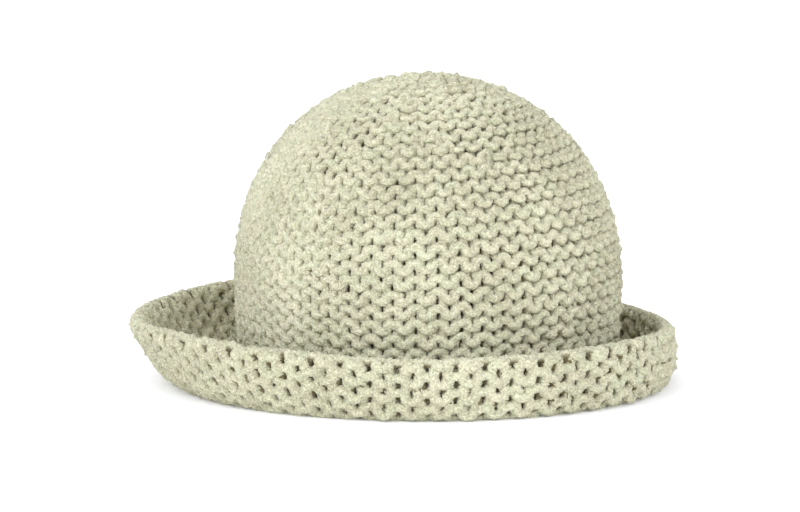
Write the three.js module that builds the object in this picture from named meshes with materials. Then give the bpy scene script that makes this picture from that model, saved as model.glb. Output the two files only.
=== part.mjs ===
import * as THREE from "three";

// A knitted hat: a domed crown, and a soft brim that turns up all round it.
// Millimetres, +Z up. It rests on the turn of its brim, which lies flat in a ring.
// The origin is on that surface, under the middle of the hat's outline.
// Azimuth runs anticlockwise from +X, seen from above, and the front is at 270 degrees.

// Driving dimensions
const crownRadius = 77.5; // outside, at the crown's widest ring
const crownHeight = 122.5; // top of the crown above the surface that the hat rests on
const widestHeight = 42; // height of the crown's widest ring
const baseTuck = 3.9; // how far the crown draws in from there down to the surface
const crownLean = 2; // how far the top of the crown leans towards -X
const fabricThickness = 5; // of the thick knitting, front to back
const joinHeight = 11; // where the crown's last round meets the brim's first
const joinGap = 0.3; // clearance between the two solids there
const turnRun = 12; // widest run of the turn, from the crown's wall to the ring it rests on
const restWidth = 8; // width of the ring that lies flat
const brimReach = 40; // furthest that the rim stands out past the crown's widest ring
const rimHeight = 26.5; // height of the middle of the rim's edge, that the table's shares are of

// The dome's section is a superellipse: 2 is an ellipse, and a larger power is squarer.
const domePower = 2.1;

// Facets: around the hat, and along each stretch of a section
const sectors = 60;
const domeSteps = 12;
const wallSteps = 4;
const turnSteps = 6;
const riseSteps = 9;
const edgeSteps = 5;

// The shape of the brim, every 30 degrees. reach, height and turn are shares of brimReach, rimHeight
// and turnRun. bulge and flare shape the rise to the rim, as shares of its run: a larger bulge makes it
// steeper at its foot, and a larger flare makes it lean out more at the rim, or roll in where negative.
const brimTable = [
  { azimuth: 0, reach: 0.49, height: 0.76, turn: 0.67, bulge: 1.3, flare: -0.3 },
  { azimuth: 30, reach: 0.5, height: 0.74, turn: 0.67, bulge: 0.9, flare: 0 },
  { azimuth: 60, reach: 0.54, height: 0.84, turn: 0.67, bulge: 0.55, flare: 0.2 },
  { azimuth: 90, reach: 0.58, height: 0.95, turn: 0.67, bulge: 0.5, flare: 0.25 },
  { azimuth: 120, reach: 0.72, height: 1.05, turn: 0.67, bulge: 0.5, flare: 0.25 },
  { azimuth: 150, reach: 0.88, height: 0.97, turn: 0.8, bulge: 0.55, flare: 0.25 },
  { azimuth: 180, reach: 1, height: 0.9, turn: 1, bulge: 0.53, flare: 0.25 },
  { azimuth: 210, reach: 0.84, height: 0.93, turn: 0.8, bulge: 0.54, flare: 0.2 },
  { azimuth: 240, reach: 0.6, height: 0.87, turn: 0.6, bulge: 0.6, flare: 0.2 },
  { azimuth: 270, reach: 0.5, height: 0.81, turn: 0.6, bulge: 0.5, flare: 0.2 },
  { azimuth: 300, reach: 0.5, height: 0.84, turn: 0.67, bulge: 0.6, flare: 0.1 },
  { azimuth: 330, reach: 0.54, height: 0.85, turn: 0.73, bulge: 1, flare: -0.1 },
];

// Soft unevenness of the stuffed crown: lobes around it, each a share of the radius.
const crownLobes = [
  { lobes: 2, peakAzimuth: 75, share: 0.008 },
  { lobes: 3, peakAzimuth: 20, share: 0.005 },
  { lobes: 5, peakAzimuth: 160, share: 0.003 },
];

const knit = new THREE.MeshStandardMaterial({
  color: 0xd6d4ba,
  roughness: 0.95,
  metalness: 0,
});

const radians = THREE.MathUtils.degToRad;

// A smooth closed curve through one column of the brim's table.
function brimShare(column, azimuth) {
  const count = brimTable.length;
  const place = (azimuth / (2 * Math.PI)) * count;
  const index = Math.floor(place);
  const f = place - index;
  const [a, b, c, d] = [-1, 0, 1, 2].map(
    (step) => brimTable[(index + step + count) % count][column],
  );
  return b + 0.5 * f * (c - a + f * (2 * a - 5 * b + 4 * c - d + f * (3 * (b - c) + d - a)));
}

// The crown's outside radius below its widest ring.
function wallRadius(height) {
  const drop = (widestHeight - height) / widestHeight;
  return crownRadius - baseTuck * drop * drop;
}

// The crown's outside section, from the top of the dome down to the join, as (radius, height).
function crownSection() {
  const domeHeight = crownHeight - widestHeight;
  const dome = Array.from({ length: domeSteps + 1 }, (_, i) => {
    const angle = (1 - i / domeSteps) * (Math.PI / 2);
    const radius = i ? crownRadius * Math.cos(angle) ** (2 / domePower) : 0;
    return new THREE.Vector2(radius, widestHeight + domeHeight * Math.sin(angle) ** (2 / domePower));
  });
  const foot = joinHeight + joinGap;
  const wall = Array.from({ length: wallSteps }, (_, i) => {
    const height = THREE.MathUtils.lerp(widestHeight, foot, (i + 1) / wallSteps);
    return new THREE.Vector2(wallRadius(height), height);
  });
  return [...dome, ...wall];
}

// The way into the fabric at each point of the crown's section: straight down at the top of the dome,
// level at the foot, where the cut is flat, and square to the section in between.
function crownInward(section) {
  return section.map((point, i) => {
    if (i === 0) return new THREE.Vector2(0, -1);
    if (i === section.length - 1) return new THREE.Vector2(-1, 0);
    const along = section[i + 1].clone().sub(section[i - 1]).normalize();
    return new THREE.Vector2(along.y, -along.x);
  });
}

// How much the lobes swell the crown at an azimuth, growing from nothing at the join.
function crownSwell(azimuth, height) {
  const rise = THREE.MathUtils.smoothstep(height, joinHeight, widestHeight);
  const swell = crownLobes.reduce(
    (sum, { lobes, peakAzimuth, share }) =>
      sum + share * Math.cos(lobes * (azimuth - radians(peakAzimuth))),
    0,
  );
  return 1 + rise * swell;
}

function crownPoint(azimuth, { x: radius, y: height }) {
  const across = radius * crownSwell(azimuth, height);
  const lean = -crownLean * (Math.max(height - joinHeight, 0) / (crownHeight - joinHeight)) ** 2;
  return [lean + across * Math.cos(azimuth), across * Math.sin(azimuth), height];
}

// A point on a cubic curve, and the way to the side of the fabric that rests on the surface.
function bezier(p0, p1, p2, p3, t) {
  const s = 1 - t;
  const weights = [s * s * s, 3 * s * s * t, 3 * s * t * t, t * t * t];
  const slopes = [-s * s, s * s - 2 * s * t, 2 * s * t - t * t, t * t];
  const blend = (factors) =>
    [p0, p1, p2, p3].reduce(
      (sum, p, i) => sum.addScaledVector(p, factors[i]),
      new THREE.Vector2(),
    );
  const along = blend(slopes).normalize();
  return { point: blend(weights), under: new THREE.Vector2(along.y, -along.x), along };
}

// The middle of the brim's fabric at an azimuth, from the join, down round the turn, along the ring
// that rests on the surface, and up to the rim.
function brimMiddle(azimuth) {
  const share = (column) => brimShare(column, azimuth);
  const half = fabricThickness / 2;
  const top = new THREE.Vector2(wallRadius(joinHeight) - half, joinHeight);
  const ringInside = new THREE.Vector2(top.x + share("turn") * turnRun, half);
  const ringOutside = new THREE.Vector2(ringInside.x + restWidth, half);
  const rim = new THREE.Vector2(
    crownRadius + share("reach") * brimReach - half,
    share("height") * rimHeight,
  );
  const run = rim.x - ringOutside.x;
  const rise = rim.y - ringOutside.y;
  const drop = top.y - half;
  const turn = [
    top,
    new THREE.Vector2(top.x, top.y - 0.6 * drop),
    new THREE.Vector2(top.x + 0.35 * (ringInside.x - top.x), half),
    ringInside,
  ];
  const climb = [
    ringOutside,
    new THREE.Vector2(ringOutside.x + share("bulge") * run, half),
    new THREE.Vector2(rim.x - share("flare") * run, rim.y - 0.45 * rise),
    rim,
  ];
  return [
    ...Array.from({ length: turnSteps + 1 }, (_, i) => bezier(...turn, i / turnSteps)),
    ...Array.from({ length: riseSteps + 1 }, (_, i) => bezier(...climb, i / riseSteps)),
  ];
}

// The brim's closed section: its upper side, the round edge of the rim, and its under side.
function brimSection(azimuth) {
  const half = fabricThickness / 2;
  const middle = brimMiddle(azimuth);
  const upper = middle.map(({ point, under }) => point.clone().addScaledVector(under, -half));
  const under = middle.map(({ point, under }) => point.clone().addScaledVector(under, half));
  const last = middle[middle.length - 1];
  const edge = Array.from({ length: edgeSteps - 1 }, (_, i) => {
    const angle = ((i + 1) / edgeSteps) * Math.PI;
    return last.point
      .clone()
      .addScaledVector(last.under, -half * Math.cos(angle))
      .addScaledVector(last.along, half * Math.sin(angle));
  });
  return [...upper, ...edge, ...under.reverse()];
}

// A closed surface through rings of points. Each ring has one point for each sector, or is a single
// point on the axis. With wrap set, the last ring joins the first.
function loft(rings, wrap) {
  const positions = [];
  const starts = rings.map((ring) => {
    const start = positions.length / 3;
    ring.forEach((point) => positions.push(...point));
    return start;
  });
  const indices = [];
  const count = rings.length;
  for (let i = 0; i < (wrap ? count : count - 1); i++) {
    const next = (i + 1) % count;
    for (let j = 0; j < sectors; j++) {
      const k = (j + 1) % sectors;
      const [a, b] = rings[i].length === 1 ? [0, 0] : [j, k];
      const [c, d] = rings[next].length === 1 ? [0, 0] : [j, k];
      if (a !== b) indices.push(starts[i] + a, starts[next] + c, starts[i] + b);
      if (c !== d) indices.push(starts[i] + b, starts[next] + c, starts[next] + d);
    }
  }
  const geometry = new THREE.BufferGeometry();
  geometry.setAttribute("position", new THREE.Float32BufferAttribute(positions, 3));
  geometry.setIndex(indices);
  geometry.computeVertexNormals();
  return geometry;
}

const azimuths = Array.from({ length: sectors }, (_, j) => (j / sectors) * 2 * Math.PI);

function crown() {
  const outside = crownSection();
  const inward = crownInward(outside);
  const inside = outside.map((point, i) =>
    point.clone().addScaledVector(inward[i], fabricThickness),
  );
  const path = [...outside, ...inside.reverse()];
  const rings = path.map((point, i) =>
    i === 0 || i === path.length - 1
      ? [crownPoint(0, point)]
      : azimuths.map((azimuth) => crownPoint(azimuth, point)),
  );
  const mesh = new THREE.Mesh(loft(rings, false), knit);
  mesh.name = "crown";
  return mesh;
}

function brim() {
  const sections = azimuths.map(brimSection);
  const rings = sections[0].map((_, i) =>
    azimuths.map((azimuth, j) => {
      const { x: radius, y: height } = sections[j][i];
      return [radius * Math.cos(azimuth), radius * Math.sin(azimuth), height];
    }),
  );
  const mesh = new THREE.Mesh(loft(rings, true), knit);
  mesh.name = "brim";
  return mesh;
}

const hat = new THREE.Group();
hat.add(crown(), brim());

// The brim reaches further on one side, so the hat is moved to bring its outline's middle over the origin.
const outline = new THREE.Box3().setFromObject(hat).getCenter(new THREE.Vector3());
hat.position.set(-outline.x, -outline.y, 0);

export default hat;
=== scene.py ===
"""A knitted hat with a turned-up brim. Its stitches are made one by one, round the solid model."""

import math

import bpy
import numpy as np
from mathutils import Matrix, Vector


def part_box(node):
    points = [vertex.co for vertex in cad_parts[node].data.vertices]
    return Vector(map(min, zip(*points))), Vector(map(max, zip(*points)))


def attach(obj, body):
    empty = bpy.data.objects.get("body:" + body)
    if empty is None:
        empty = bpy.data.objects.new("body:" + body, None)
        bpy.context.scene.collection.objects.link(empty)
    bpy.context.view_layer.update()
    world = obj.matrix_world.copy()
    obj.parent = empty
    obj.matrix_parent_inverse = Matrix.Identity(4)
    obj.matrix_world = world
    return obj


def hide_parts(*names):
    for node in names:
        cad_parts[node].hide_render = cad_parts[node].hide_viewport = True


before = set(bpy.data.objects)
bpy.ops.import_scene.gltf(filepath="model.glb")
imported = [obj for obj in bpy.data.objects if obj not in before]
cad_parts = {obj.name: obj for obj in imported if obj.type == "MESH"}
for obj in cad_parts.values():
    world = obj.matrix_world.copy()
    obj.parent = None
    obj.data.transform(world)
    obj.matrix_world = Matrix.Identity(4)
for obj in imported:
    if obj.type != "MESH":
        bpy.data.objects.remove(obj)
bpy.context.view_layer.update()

# Sizes of the solid model, in millimetres. Azimuth runs anticlockwise from +X, seen from above,
# round the crown's axis, and the front of the hat is at 270 degrees.
MM = 0.001
CROWN_RADIUS = 77.5
WIDEST_HEIGHT = 42.0
BASE_TUCK = 3.9
CROWN_LEAN = 2.0
DOME_POWER = 2.1
FABRIC_THICKNESS = 5.0
JOIN_GAP = 0.3
TURN_RUN = 12.0
REST_WIDTH = 8.0
BRIM_REACH = 40.0
RIM_HEIGHT = 26.5
TURN_DROP = 0.6  # where the curves of the brim's section bend: of the drop from the join,
TURN_OUT = 0.35  # of the run of the turn,
CLIMB_DROP = 0.45  # and of the rise, down from the rim
NEAR = 0.01  # within this two heights are the same

# The solids' places, from the frame
crown_low, crown_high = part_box("crown")
CROWN_HEIGHT = crown_high.z / MM
JOIN_HEIGHT = crown_low.z / MM - JOIN_GAP
crown_points = np.array([v.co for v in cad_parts["crown"].data.vertices])
foot_ring = crown_points[crown_points[:, 2] < crown_low.z + NEAR * MM]
AXIS = (foot_ring.min(0) + foot_ring.max(0)) / 2 / MM

# The brim's shape every 30 degrees: shares of BRIM_REACH, RIM_HEIGHT and TURN_RUN, and of the rise's run.
BRIM_COLUMNS = ("reach", "height", "turn", "bulge", "flare")
BRIM_TABLE = (
    (0.49, 0.76, 0.67, 1.30, -0.30),
    (0.50, 0.74, 0.67, 0.90, 0.00),
    (0.54, 0.84, 0.67, 0.55, 0.20),
    (0.58, 0.95, 0.67, 0.50, 0.25),
    (0.72, 1.05, 0.67, 0.50, 0.25),
    (0.88, 0.97, 0.80, 0.55, 0.25),
    (1.00, 0.90, 1.00, 0.53, 0.25),
    (0.84, 0.93, 0.80, 0.54, 0.20),
    (0.60, 0.87, 0.60, 0.60, 0.20),
    (0.50, 0.81, 0.60, 0.50, 0.20),
    (0.50, 0.84, 0.67, 0.60, 0.10),
    (0.54, 0.85, 0.73, 1.00, -0.10),
)
CROWN_LOBES = ((2, 75, 0.008), (3, 20, 0.005), (5, 160, 0.003))  # lobes, peak azimuth, share

# The knitting, in millimetres
FOOT_SWELL = 0.03  # how much fuller the yarn is at the foot of a loop, and thinner at its head
PLIES = 3
PLY_RELIEF = 0.06  # of the yarn's radius
LUMP = 0.14  # unevenness of the yarn's surface, of its radius
STITCHES = 58  # round the crown's wall and the brim
FRONT = math.radians(270)
FRONT_STRETCH = 0.05  # how much wider the stitches are in front, where the cloth is drawn out
STRETCHED_ROWS = (6, 18)  # rows of the crown between which that fades out
ROW_PITCH = (5.5, 6.1)  # at the crown's join and at its top
ROW_TILT = 0.03  # how far the rows rise towards +X halfway up, as a share of the crown's arc
# How boldly the stitches stand out, from the side where they are boldest to the one where they are flat:
# the cosine of the angle from the flat side, the relief's share, and how much fuller the legs are.
FLAT_SIDE = math.radians(198)
RELIEF = ((-0.6, 1.25, -0.14), (0.3, 1.0, 0.0), (0.5, 0.97, 0.01), (1.0, 0.5, 0.14))
DOME_STITCH = 6.9  # width of a stitch on the dome, once the crown is drawn in
LAST_LOOPS = 4  # in the last row at the top
DRAWN_IN = (9, 17)  # rows between which the crown is drawn in, and the yarn pulled tighter
DRAWN_YARN = {"yarn": -0.16, "leg": -0.1, "reach": 0.02}  # what that adds to the shape of a stitch
OVERLAP = 0.9  # how far two heads that share a loop are lifted and sunk, to lie one over the other
DECREASE_TURN = 0.38  # how far round the decreases move from row to row, of their spacing
DECREASE_PULL = 0.24  # how far the two heads are drawn aside, in stitches
EVENINGS = 2  # how many times the loops of a row move towards the middle of their neighbours
EVENING = 0.35  # and how far, of the way there
# The shape of a stitch. reach is from a row's middle to the top of its loops, in rows. sway is how far a
# loop's sides swing out past its neck, and spread how much wider its head is than its foot, in stitches.
# depth is how far loops stand in front of their legs, and foot how far their feet stand in front of their
# heads, both halved. yarn is the yarn's radius, and leg how much fuller it is in the legs behind.
LOOP_COLUMNS = ("reach", "sway", "spread", "depth", "foot", "yarn", "leg")
CROWN_LOOPS = dict(zip(LOOP_COLUMNS, (0.75, 0.115, 0.01, 1.05, 0.15, 1.8, 0.24)))
BRIM_LOOPS = dict(zip(LOOP_COLUMNS, (0.74, 0.12, 0.02, 0.65, 0.1, 1.92, 0.28)))
CROWN_PROUD = -0.1  # how far the middle of the knitting stands outside the solid's middle
BRIM_PLY = 1.05  # how far the middle of each of the brim's two layers lies from the solid's middle
FLATTENED = 0.8  # height of the yarn's middle where the hat rests on it, in radii
BRIM_ROWS = 8  # in each of the brim's two layers, from the join to the rim
BRIM_FACE_ROWS = 4  # of these, how many lie between the rim and the ring that it rests on
BRIM_PITCH = 6.7  # between those, where the cloth is neither tight nor slack
BRIM_EVENNESS = 0.75  # share of that pitch, and the rest is the pitch that the cloth's length gives
RIM_CORD = 1.8  # radius of the cord that closes the rim
RIM_RAISED = 0.6  # how far its middle stands above the fold of the cloth
RIM_NOTCH = 0.16  # how much thinner it is between two stitches
NOTCH_POWER = 6  # the larger, the narrower that place is
SAMPLES = 22  # along one stitch
SIDES = 9  # round the yarn
YARN_TWIST = 2 * math.pi / 14  # radians for each millimetre of yarn
FLOOR_CLEARANCE = 0.05

# Random unevenness of the loops, each a standard deviation
UNEVEN_SWING = 0.028  # sideways, in stitches
UNEVEN_REACH = 0.035  # of the loops' height
UNEVEN_LEVEL = 0.03  # in rows
UNEVEN_DEPTH = 0.14  # in millimetres
UNEVEN_YARN = 0.03  # of the yarn's radius
UNEVEN_POINTS = 2  # random values for each stitch, that a smooth curve runs through

# Name, first row, and the row after the last
CROWN_PIECES = (("lower", 0, 8), ("middle", 8, 16), ("upper", 16, None))
BRIM_PIECES = (("under", 0, 5), ("rim", 5, 11), ("inner", 11, None))

# Steps along the sections and round the hat, for the smooth cloth that the loops follow
WALL_STEPS = 40
DOME_STEPS = 240
TURN_STEPS = 60
CLIMB_STEPS = 120
FOLD_STEPS = 17
AZIMUTH_STEPS = 180

SEED = 7
rng = np.random.default_rng(SEED)


def unit(vectors):
    length = np.linalg.norm(vectors, axis=-1, keepdims=True)
    return vectors / np.maximum(length, 1e-9)


def around_ring(values, place, turn=0.0):
    """A smooth closed curve through values at whole places. It grows by turn each time round."""
    count = len(values)
    index = np.floor(place).astype(int)
    f = place - index

    def value(step):
        k = index + step
        return values[k % count] + (k // count) * turn

    a, b, c, d = value(-1), value(0), value(1), value(2)
    return b + 0.5 * f * (c - a + f * (2 * a - 5 * b + 4 * c - d + f * (3 * (b - c) + d - a)))


def brim_share(column, azimuth):
    values = np.array([row[BRIM_COLUMNS.index(column)] for row in BRIM_TABLE])
    return around_ring(values, azimuth / (2 * np.pi) * len(values))


def wall_radius(height):
    return CROWN_RADIUS - BASE_TUCK * ((WIDEST_HEIGHT - height) / WIDEST_HEIGHT) ** 2


def smoothstep(x, low, high):
    t = np.clip((x - low) / (high - low), 0, 1)
    return t * t * (3 - 2 * t)


def bezier(points, t):
    p0, p1, p2, p3 = (p[:, None, :] for p in points)
    t = t[None, :, None]
    s = 1 - t
    return s**3 * p0 + 3 * s * s * t * p1 + 3 * s * t * t * p2 + t**3 * p3


class Fabric:
    """Cloth that closes round the hat. A place on it is an azimuth and a row, which needn't be whole."""

    ROW_STEPS = 12
    SMALLEST_RING = 0.05  # millimetres round, for two steps: on a smaller one, up is the normal
    END = 1.001  # steps short of the grid's count, where its last place is

    def __init__(self, grid, rows_at, offset=0.0):
        """grid holds points [azimuth, step] from the cloth's foot to its head, and rows_at turns the arc
        length of each step into that of each place on the scale of rows."""
        along = np.gradient(grid, axis=1)
        around = np.roll(grid, -1, 0) - np.roll(grid, 1, 0)
        normal = np.cross(around, along)
        normal[np.linalg.norm(around, axis=-1) < self.SMALLEST_RING] = (0, 0, 1)
        normal = unit(normal)
        grid = grid + normal * offset
        step = np.linalg.norm(np.diff(grid, axis=1), axis=-1)
        arc = np.concatenate([np.zeros((len(grid), 1)), np.cumsum(step, 1)], 1)
        places = rows_at(arc)
        self.points = np.empty(places.shape + (3,))
        self.normals = np.empty(places.shape + (3,))
        for i in range(len(grid)):
            for axis in range(3):
                self.points[i, :, axis] = np.interp(places[i], arc[i], grid[i, :, axis])
                self.normals[i, :, axis] = np.interp(places[i], arc[i], normal[i, :, axis])

    def at(self, azimuth, row):
        count, steps = self.points.shape[:2]
        x = np.mod(azimuth / (2 * np.pi), 1) * count
        y = np.clip(row * self.ROW_STEPS, 0, steps - self.END)
        i, j = np.floor(x).astype(int) % count, np.floor(y).astype(int)
        f, g = (x - np.floor(x))[..., None], (y - j)[..., None]
        k = (i + 1) % count

        def blend(field):
            low = field[i, j] * (1 - f) + field[k, j] * f
            high = field[i, j + 1] * (1 - f) + field[k, j + 1] * f
            return low * (1 - g) + high * g

        return blend(self.points), unit(blend(self.normals))


AZIMUTHS = np.linspace(0, 2 * np.pi, AZIMUTH_STEPS, endpoint=False)


def crown_surface():
    """The crown's outside, from its foot to its top."""
    wall = np.linspace(JOIN_HEIGHT, WIDEST_HEIGHT, WALL_STEPS, endpoint=False)
    angle = np.linspace(0, np.pi / 2, DOME_STEPS)
    dome_height = CROWN_HEIGHT - WIDEST_HEIGHT
    radius = np.concatenate([wall_radius(wall), CROWN_RADIUS * np.cos(angle) ** (2 / DOME_POWER)])
    height = np.concatenate([wall, WIDEST_HEIGHT + dome_height * np.sin(angle) ** (2 / DOME_POWER)])
    azimuth = AZIMUTHS[:, None]
    swell = sum(
        share * np.cos(lobes * (azimuth - math.radians(peak))) for lobes, peak, share in CROWN_LOBES
    )
    across = radius * (1 + smoothstep(height, JOIN_HEIGHT, WIDEST_HEIGHT) * swell)
    rise = np.maximum(height - JOIN_HEIGHT, 0) / (CROWN_HEIGHT - JOIN_HEIGHT)
    lean = -CROWN_LEAN * rise**2
    return np.stack(
        [
            AXIS[0] + lean + across * np.cos(azimuth),
            AXIS[1] + across * np.sin(azimuth),
            height + 0 * across,
        ],
        -1,
    )


def brim_surface():
    """The brim's cloth is double. It runs up the outer side from the join to the rim, folds over there,
    and runs down the side that faces the crown, back to the join."""
    share = {column: brim_share(column, AZIMUTHS) for column in BRIM_COLUMNS}
    half = FABRIC_THICKNESS / 2
    top_radius = wall_radius(JOIN_HEIGHT) - half + 0 * AZIMUTHS
    ring_inside = top_radius + share["turn"] * TURN_RUN
    ring_outside = ring_inside + REST_WIDTH
    rim_radius = CROWN_RADIUS + share["reach"] * BRIM_REACH - half
    rim_height = share["height"] * RIM_HEIGHT
    run, rise = rim_radius - ring_outside, rim_height - half
    drop = JOIN_HEIGHT - half

    def pair(radius, height):
        return np.stack([radius, height + 0 * radius], -1)

    turn = (
        pair(top_radius, JOIN_HEIGHT),
        pair(top_radius, JOIN_HEIGHT - TURN_DROP * drop),
        pair(top_radius + TURN_OUT * (ring_inside - top_radius), half),
        pair(ring_inside, half),
    )
    climb = (
        pair(ring_outside, half),
        pair(ring_outside + share["bulge"] * run, half),
        pair(rim_radius - share["flare"] * run, rim_height - CLIMB_DROP * rise),
        pair(rim_radius, rim_height),
    )
    middle = np.concatenate(
        [
            bezier(turn, np.linspace(0, 1, TURN_STEPS)),
            bezier(climb, np.linspace(0, 1, CLIMB_STEPS)),
        ],
        1,
    )
    along = unit(np.gradient(middle, axis=1))
    outer = np.stack([along[..., 1], -along[..., 0]], -1)
    angle = np.linspace(0, np.pi, FOLD_STEPS)[None, 1:-1, None]
    fold = middle[:, -1:] + BRIM_PLY * (outer[:, -1:] * np.cos(angle) + along[:, -1:] * np.sin(angle))
    inner = middle - BRIM_PLY * outer
    section = np.concatenate([middle + BRIM_PLY * outer, fold, inner[:, ::-1]], 1)
    azimuth = AZIMUTHS[:, None]
    return np.stack(
        [
            AXIS[0] + section[..., 0] * np.cos(azimuth),
            AXIS[1] + section[..., 0] * np.sin(azimuth),
            section[..., 1],
        ],
        -1,
    )


def crown_rows(arc):
    """Arc length of each place on the crown's scale of rows: taller rows towards the top."""
    count = round(arc[:, -1].mean() / np.mean(ROW_PITCH))
    places = np.linspace(0, count, count * Fabric.ROW_STEPS + 1)
    low, high = ROW_PITCH
    length = low * places + (high - low) * places**2 / (2 * count)
    share = length[None, :] / length[-1]
    return arc[:, -1:] * (share + ROW_TILT * np.cos(AZIMUTHS)[:, None] * np.sin(np.pi * share))


def brim_rows(arc):
    """Arc length of each place on the brim's scale of rows. The rows are even on both sides of the rim,
    and those in the turn are as tall as what is left of the cloth."""
    count = 2 * BRIM_ROWS
    places = np.linspace(0, count, count * Fabric.ROW_STEPS + 1)
    kernel = np.hanning(2 * Fabric.ROW_STEPS + 1)
    kernel /= kernel.sum()
    rows = []
    for steps in arc:
        rim, end = steps[len(steps) // 2], steps[-1]
        outer, inner = (
            BRIM_EVENNESS * BRIM_PITCH + (1 - BRIM_EVENNESS) * side / BRIM_ROWS
            for side in (rim, end - rim)
        )
        knots = [0, BRIM_ROWS - BRIM_FACE_ROWS, BRIM_ROWS, BRIM_ROWS + BRIM_FACE_ROWS, count]
        lengths = [0, rim - BRIM_FACE_ROWS * outer, rim, rim + BRIM_FACE_ROWS * inner, end]
        padded = np.pad(
            np.interp(places, knots, lengths), len(kernel), mode="reflect", reflect_type="odd"
        )
        rows.append(np.convolve(padded, kernel, mode="same")[len(kernel) : -len(kernel)])
    return np.array(rows)


def jitter(count, place, amount):
    """Smooth random variation along a row of count stitches."""
    values = rng.normal(0, amount, count * UNEVEN_POINTS)
    return around_ring(values, place * UNEVEN_POINTS)


def loop_row(fabric, shape, row, wales, heads, overlap):
    """The middle of one row's yarn: its points, the cloth's normal, the yarn's radius, and how far the yarn
    stands out of the cloth. The loops stand at the azimuths in wales and lean to those in heads, and
    overlap lifts or sinks the head of each. A stitch is a full turn of t, from the head of one loop to
    the head of the next."""
    count = len(wales)
    place = np.arange(count * SAMPLES) / SAMPLES
    t = 2 * np.pi * place
    foot_line = around_ring(wales, place, 2 * np.pi)
    head_line = around_ring(heads, place, 2 * np.pi)
    top = (1 + np.cos(t)) / 2
    width = np.gradient(foot_line) * SAMPLES
    azimuth = foot_line + top * (head_line - foot_line)
    swing = shape["sway"] * np.sin(2 * t) + shape["spread"] * np.sin(t)
    azimuth = azimuth + width * (swing + jitter(count, place, UNEVEN_SWING))
    lift = around_ring(overlap, place) * top**2
    tall = shape["reach"] * (1 + jitter(count, place, UNEVEN_REACH))
    level = row + tall * np.cos(t) + jitter(count, place, UNEVEN_LEVEL)
    points, normals = fabric.at(azimuth, level)
    side, relief, fuller = np.array(RELIEF).T
    flat = np.cos(azimuth - FLAT_SIDE)
    depth = shape["depth"] * np.cos(2 * t) - shape["foot"] * np.cos(t)
    depth = (depth + jitter(count, place, UNEVEN_DEPTH)) * np.interp(flat, side, relief)
    leg = shape["leg"] + np.interp(flat, side, fuller)
    swell = 1 - FOOT_SWELL * np.cos(t) + leg * np.sin(t) ** 2
    radius = shape["yarn"] * swell * (1 + jitter(count, place, UNEVEN_YARN))
    points = points + normals * (depth + lift)[:, None]
    points[:, 2] = np.maximum(points[:, 2], FLATTENED * radius)
    return points, normals, radius, depth


def tube(points, normals, radius, depth):
    """A closed loop of plied yarn round a line of points: its vertices, its faces and, for the material,
    each vertex's place in the yarn, untwisted, and how far it stands out of the cloth, which sets the shade
    painted into the creases."""
    count = len(points)
    tangent = unit(np.roll(points, -1, 0) - np.roll(points, 1, 0))
    side = unit(np.cross(tangent, normals))
    up = np.cross(side, tangent)
    arc = np.cumsum(np.linalg.norm(points - np.roll(points, 1, 0), axis=1))
    angle = np.arange(SIDES) / SIDES * 2 * np.pi
    ring = np.cos(angle)[None, :, None] * side[:, None] + np.sin(angle)[None, :, None] * up[:, None]
    turned = angle[None, :] + YARN_TWIST * arc[:, None]
    lumps = rng.normal(0, LUMP, turned.shape)
    surface = np.reshape(radius, (-1, 1)) * (1 + PLY_RELIEF * np.cos(PLIES * turned) + lumps)
    verts = points[:, None] + ring * surface[..., None]
    i = np.arange(count)[:, None]
    j = np.arange(SIDES)[None, :]
    a, b = i * SIDES + j, i * SIDES + (j + 1) % SIDES
    c, d = (i + 1) % count * SIDES + (j + 1) % SIDES, (i + 1) % count * SIDES + j
    faces = np.stack([a, b, c, d], -1).reshape(-1, 4)
    spread = radius.mean()
    yarn = np.stack([spread * np.cos(turned), spread * np.sin(turned), arc[:, None] + 0 * turned], -1)
    # How far each vertex stands out of the cloth: the mask for the shade painted into the creases.
    front = depth[:, None] + (ring * normals[:, None]).sum(-1) * surface
    return verts.reshape(-1, 3), faces, yarn.reshape(-1, 3), front.ravel()


def piece(name, tubes, node, material):
    """One object of several loops of yarn."""
    verts = np.concatenate([part[0] for part in tubes])
    starts = np.cumsum([0] + [len(part[0]) for part in tubes])
    verts[:, 2] = np.maximum(verts[:, 2], FLOOR_CLEARANCE)
    faces = np.concatenate([part[1] + start for part, start in zip(tubes, starts)])
    yarn = np.concatenate([part[2] for part in tubes])
    front = np.concatenate([part[3] for part in tubes])
    mesh = bpy.data.meshes.new(name)
    mesh.vertices.add(len(verts))
    mesh.vertices.foreach_set("co", (verts * MM).astype(np.float32).ravel())
    mesh.loops.add(faces.size)
    mesh.loops.foreach_set("vertex_index", faces.astype(np.int32).ravel())
    mesh.polygons.add(len(faces))
    mesh.polygons.foreach_set("loop_start", np.arange(0, faces.size, 4, dtype=np.int32))
    mesh.polygons.foreach_set("loop_total", np.full(len(faces), 4, np.int32))
    mesh.polygons.foreach_set("use_smooth", np.ones(len(faces), bool))
    mesh.update(calc_edges=True)
    attribute = mesh.attributes.new("yarn", "FLOAT_VECTOR", "POINT")
    attribute.data.foreach_set("vector", yarn.astype(np.float32).ravel())
    # The mask for the shade painted into the creases
    attribute = mesh.attributes.new("front", "FLOAT", "POINT")
    attribute.data.foreach_set("value", front.astype(np.float32))
    mesh.materials.append(material)
    obj = bpy.data.objects.new(name, mesh)
    bpy.context.scene.collection.objects.link(obj)
    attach(obj, "root")
    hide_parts(node)


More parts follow.
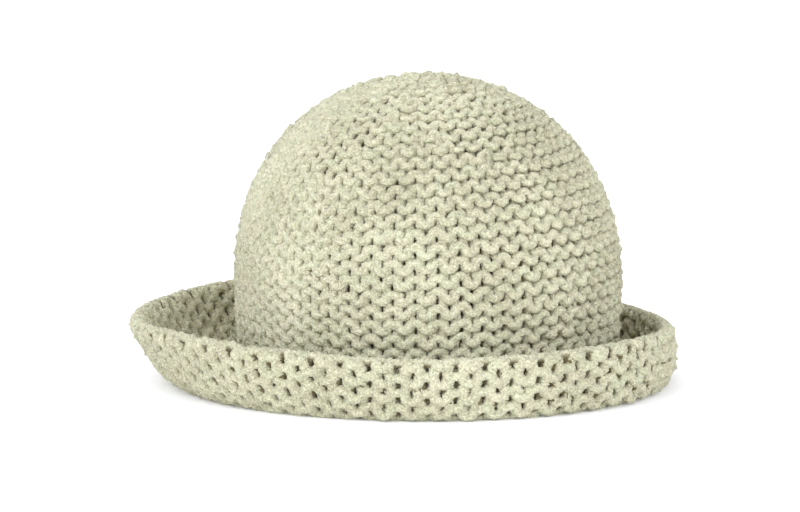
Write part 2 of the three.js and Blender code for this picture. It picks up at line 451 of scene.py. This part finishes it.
def wale_plan(fabric, rows):
    """For each row of the crown, the azimuths of its loops, where the head of each is drawn to, and how far
    that head is lifted. Where the crown narrows, two neighbours share the next row's loop."""
    wales = np.arange(STITCHES) / STITCHES * 2 * np.pi
    plan = []
    for row in range(rows):
        count = len(wales)
        points, _ = fabric.at(AZIMUTHS, np.full(len(AZIMUTHS), row + 1.5))
        length = np.linalg.norm(points - np.roll(points, 1, 0), axis=1).sum()
        fewest = max(math.ceil(count / 2), LAST_LOOPS)
        merges = count - min(count, max(fewest, round(length / DOME_STITCH)))
        drawn = {math.floor((k + DECREASE_TURN * row) * count / merges) % count for k in range(merges)}
        above, holder, heads_turn = [], np.zeros(count, int), np.zeros(count)
        for j in range(count):
            if (j - 1) % count in drawn:
                continue
            k = (j + 1) % count
            if j in drawn:
                turn = 2 * np.pi if k < j else 0
                holder[k], heads_turn[k] = len(above), -turn
                above.append((wales[j] + wales[k] + turn) / 2)
            else:
                above.append(wales[j])
            holder[j] = len(above) - 1
        above = np.array(above)
        for _ in range(EVENINGS):
            before = np.roll(above, 1)
            before[0] -= 2 * np.pi
            following = np.roll(above, -1)
            following[-1] += 2 * np.pi
            above = above + EVENING * ((before + following) / 2 - above)
        heads, overlap = above[holder] + heads_turn, np.zeros(count)
        pull = DECREASE_PULL * 2 * np.pi / count
        for j in drawn:
            k = (j + 1) % count
            heads[j], heads[k] = heads[j] - pull, heads[k] + pull
            overlap[j], overlap[k] = OVERLAP, -OVERLAP
        plan.append((wales, heads, overlap))
        wales = above
    return plan


def drawn_out(azimuth, share):
    """Where the loops go when the cloth is stretched in front."""
    return azimuth + share * FRONT_STRETCH * np.sin(azimuth - FRONT)


def crown_knitting(material):
    fabric = Fabric(crown_surface(), crown_rows, CROWN_PROUD - FABRIC_THICKNESS / 2)
    rows = (fabric.points.shape[1] - 1) // Fabric.ROW_STEPS
    plan = wale_plan(fabric, rows)
    tubes = []
    for row, (wales, heads, overlap) in enumerate(plan):
        share = 1 - smoothstep(row, *STRETCHED_ROWS)
        wales, heads = drawn_out(wales, share), drawn_out(heads, share)
        drawn = smoothstep(row, *DRAWN_IN)
        shape = {name: size + drawn * DRAWN_YARN.get(name, 0) for name, size in CROWN_LOOPS.items()}
        tubes.append(tube(*loop_row(fabric, shape, row + 0.5, wales, heads, overlap)))
    for name, low, high in CROWN_PIECES:
        piece(f"crown_knit_{name}", tubes[low:high], "crown", material)


def rim_cord(fabric):
    """The cord that closes the rim, over the fold between the brim's two layers."""
    place = np.arange(STITCHES * SAMPLES) / SAMPLES
    azimuth = drawn_out(place / STITCHES * 2 * np.pi, 1)
    level = BRIM_ROWS + jitter(STITCHES, place, UNEVEN_LEVEL)
    points, normals = fabric.at(azimuth, level)
    points = points + RIM_RAISED * normals
    notch = RIM_NOTCH * ((1 + np.cos(2 * np.pi * place)) / 2) ** NOTCH_POWER
    radius = RIM_CORD * (1 - notch + jitter(STITCHES, place, UNEVEN_YARN))
    return points, normals, radius, 0 * radius


def brim_knitting(material):
    fabric = Fabric(brim_surface(), brim_rows)
    wales = drawn_out((np.arange(STITCHES) + 0.5) / STITCHES * 2 * np.pi, 1)
    tubes = []
    for row in range(2 * BRIM_ROWS):
        tubes.append(tube(*loop_row(fabric, BRIM_LOOPS, row + 0.5, wales, wales, np.zeros(STITCHES))))
    for name, low, high in BRIM_PIECES:
        piece(f"brim_knit_{name}", tubes[low:high], "brim", material)
    piece("brim_cord", [tube(*rim_cord(fabric))], "brim", material)


# The yarn's colours. The pale one turns from slightly pink to slightly green.
DARK_YARN = (0.49, 0.462, 0.265)
PINK_YARN = (0.97, 0.91, 0.635)
GREEN_YARN = (0.92, 0.93, 0.625)
# Painted shade: the dark brown the yarn turns to where it lies deep in the cloth, standing in for the
# shadow between loops.
PAINTED_CREASE_SHADE = (0.2, 0.16, 0.05)
PAINTED_SHADE_DEPTH = (-0.7, 0.8)  # millimetres out of the cloth, where the painted shade is darkest and where the yarn is plain
FIBRE_STRETCH = (1.0, 1.0, 0.14)  # the fibres' scale across the yarn, twice, and along it
# Scale, detail and roughness of each noise. Scales are for each metre, and the fibres' for each millimetre.
NOISES = {
    "fibre": (1.7, 4.0, 0.7),
    "crumb": (1100.0, 2.0, 0.8),
    "dye": (28.0, 3.0, 0.6),
    "tint": (150.0, 1.0, 0.5),
}
# What makes up the yarn's relief and its tone, and how much of each
RELIEF_SHARES = {"ply": 0.06, "fibre": 0.7, "crumb": 1.9}
RELIEF_HEIGHT = 1.1
TONE_SHARES = {"dye": 0.2, "fibre": 0.3, "crumb": 0.5}
TONE_RANGE = (0.4, 0.6)
TINT_RANGE = (0.35, 0.65)


def cotton():
    """Matt cotton yarn: soft plies, fine fibres and a slightly uneven dye, with shade painted into its
    creases.
    """
    material = bpy.data.materials.new("cotton_knit")
    material.use_nodes = True
    nodes, links = material.node_tree.nodes, material.node_tree.links
    shader = nodes["Principled BSDF"]
    shader.inputs["Roughness"].default_value = 0.95
    shader.inputs["Specular IOR Level"].default_value = 0.25
    shader.inputs["Sheen Weight"].default_value = 0.25
    shader.inputs["Sheen Roughness"].default_value = 0.5

    def node(kind, **inputs):
        """A node whose named inputs are plain values or the outputs of other nodes."""
        made = nodes.new(kind)
        for name, value in inputs.items():
            socket = made.inputs[name.replace("_", " ")]
            if isinstance(value, bpy.types.NodeSocket):
                links.new(value, socket)
            else:
                socket.default_value = value
        return made

    def operation(kind, *values):
        made = nodes.new("ShaderNodeMath")
        made.operation = kind
        for socket, value in zip(made.inputs, values):
            if isinstance(value, bpy.types.NodeSocket):
                links.new(value, socket)
            else:
                socket.default_value = value
        return made.outputs[0]

    def attribute(name, output):
        made = nodes.new("ShaderNodeAttribute")
        made.attribute_name = name
        return made.outputs[output]

    def noise(vector, name):
        scale, detail, roughness = NOISES[name]
        made = node("ShaderNodeTexNoise", Vector=vector, Scale=scale, Detail=detail, Roughness=roughness)
        return made.outputs["Fac"]

    def share_between(value, span):
        """How far a value is across a span, from 0 to 1."""
        low, high = span
        return node("ShaderNodeMapRange", Value=value, From_Min=low, From_Max=high).outputs[0]

    def mixed(factor, first, second):
        """A mix of two colours, each plain or an output."""
        made = nodes.new("ShaderNodeMix")
        made.data_type = "RGBA"
        links.new(factor, made.inputs["Factor"])
        for name, colour in (("A", first), ("B", second)):
            if isinstance(colour, bpy.types.NodeSocket):
                links.new(colour, made.inputs[name])
            else:
                made.inputs[name].default_value = (*colour, 1)
        return made.outputs["Result"]

    place = nodes.new("ShaderNodeTexCoord").outputs["Object"]
    yarn = attribute("yarn", "Vector")
    parts = node("ShaderNodeSeparateXYZ", Vector=yarn)
    turn = operation("ARCTAN2", parts.outputs["Y"], parts.outputs["X"])
    stretch = nodes.new("ShaderNodeVectorMath")
    stretch.operation = "MULTIPLY"
    stretch.inputs[1].default_value = FIBRE_STRETCH
    links.new(yarn, stretch.inputs[0])
    grain = {
        "ply": operation("COSINE", operation("MULTIPLY", turn, float(PLIES))),
        "fibre": noise(stretch.outputs[0], "fibre"),
        "crumb": noise(place, "crumb"),
        "dye": noise(place, "dye"),
    }

    def blend(shares):
        """The sum of several of these, each times its share."""
        total = 0.0
        for name, share in shares.items():
            total = operation("ADD", operation("MULTIPLY", grain[name], share), total)
        return total

    bump = node("ShaderNodeBump", Strength=1.0, Distance=RELIEF_HEIGHT * MM, Height=blend(RELIEF_SHARES))
    links.new(bump.outputs["Normal"], shader.inputs["Normal"])
    pale = mixed(share_between(noise(place, "tint"), TINT_RANGE), PINK_YARN, GREEN_YARN)
    plain = mixed(share_between(blend(TONE_SHARES), TONE_RANGE), DARK_YARN, pale)
    # Painted shade: the yarn darkens where it lies deep in the cloth, standing in for the shadow in the
    # creases.
    painted_shade = mixed(share_between(attribute("front", "Fac"), PAINTED_SHADE_DEPTH), PAINTED_CREASE_SHADE, plain)
    links.new(painted_shade, shader.inputs["Base Color"])
    return material


FLOOR_HALF = 12.0  # metres
FLOOR_WHITE = 0.95
FLOOR_GLOW = 0.1  # a little light of its own, so that it reads as pure white


def floor():
    half = FLOOR_HALF
    corners = [(-half, -half, 0), (half, -half, 0), (half, half, 0), (-half, half, 0)]
    mesh = bpy.data.meshes.new("floor")
    mesh.from_pydata(corners, [], [(0, 1, 2, 3)])
    material = bpy.data.materials.new("floor")
    material.use_nodes = True
    shader = material.node_tree.nodes["Principled BSDF"]
    shader.inputs["Base Color"].default_value = (FLOOR_WHITE, FLOOR_WHITE, FLOOR_WHITE, 1)
    shader.inputs["Roughness"].default_value = 0.9
    shader.inputs["Specular IOR Level"].default_value = 0.1
    shader.inputs["Emission Color"].default_value = (1, 1, 1, 1)
    shader.inputs["Emission Strength"].default_value = FLOOR_GLOW
    mesh.materials.append(material)
    obj = bpy.data.objects.new("floor", mesh)
    bpy.context.scene.collection.objects.link(obj)


LIGHTS = (  # name, energy, angle across it, turn, in degrees
    ("key", 1.45, 60, (62, 0, -46)),
    ("fill", 1.47, 60, (64, 0, 20)),
    ("back", 0.5, 50, (38, 0, 215)),
)
LAMP_COLOUR = (0.905, 0.965, 1.11)
ROOM_COLOUR = (0.985, 0.975, 1.0)
LEVEL_LIGHT = 1.28  # of the room, at eye level
OVERHEAD_LIGHT = 0.72


def studio():
    """Broad soft lights from the front left, the front right and behind, in a white room."""
    for name, energy, angle, turn in LIGHTS:
        data = bpy.data.lights.new(name, "SUN")
        data.energy = energy
        data.angle = math.radians(angle)
        data.color = LAMP_COLOUR
        lamp = bpy.data.objects.new(name, data)
        lamp.rotation_euler = [math.radians(a) for a in turn]
        bpy.context.scene.collection.objects.link(lamp)
    world = bpy.data.worlds.new("studio")
    bpy.context.scene.world = world
    world.use_nodes = True
    tree = world.node_tree
    background = tree.nodes["Background"]
    background.inputs["Color"].default_value = (*ROOM_COLOUR, 1)
    place = tree.nodes.new("ShaderNodeTexCoord")
    parts = tree.nodes.new("ShaderNodeSeparateXYZ")
    tree.links.new(place.outputs["Generated"], parts.inputs[0])
    strength = tree.nodes.new("ShaderNodeMapRange")
    strength.inputs["To Min"].default_value = LEVEL_LIGHT
    strength.inputs["To Max"].default_value = OVERHEAD_LIGHT
    tree.links.new(parts.outputs["Z"], strength.inputs["Value"])
    tree.links.new(strength.outputs[0], background.inputs["Strength"])
    bpy.context.scene.view_settings.view_transform = "Standard"


# The photograph's frame is 800 by 512, and the crown's axis meets the floor at ORIGIN_PIXEL.
IMAGE = (800, 512)
ORIGIN_PIXEL = (427.5, 380.0)
PIXEL = 0.399  # millimetres of the hat in one pixel
DISTANCE = 1500.0
ELEVATION = math.radians(10)
SENSOR_WIDTH = 36.0


def camera():
    data = bpy.data.cameras.new("camera")
    data.sensor_width = SENSOR_WIDTH
    data.lens = SENSOR_WIDTH * DISTANCE / (IMAGE[0] * PIXEL)
    back = np.array([0, -math.cos(ELEVATION), math.sin(ELEVATION)])
    place = np.array([AXIS[0], AXIS[1], 0]) + back * DISTANCE
    aim_left = math.atan((ORIGIN_PIXEL[0] - IMAGE[0] / 2) * PIXEL / DISTANCE)
    aim_up = math.atan((ORIGIN_PIXEL[1] - IMAGE[1] / 2) * PIXEL / DISTANCE)
    obj = bpy.data.objects.new("camera", data)
    obj.location = place * MM
    obj.rotation_euler = (math.pi / 2 - ELEVATION + aim_up, 0, aim_left)
    bpy.context.scene.collection.objects.link(obj)
    bpy.context.scene.camera = obj


camera()
yarn_material = cotton()
crown_knitting(yarn_material)
brim_knitting(yarn_material)
floor()
studio()
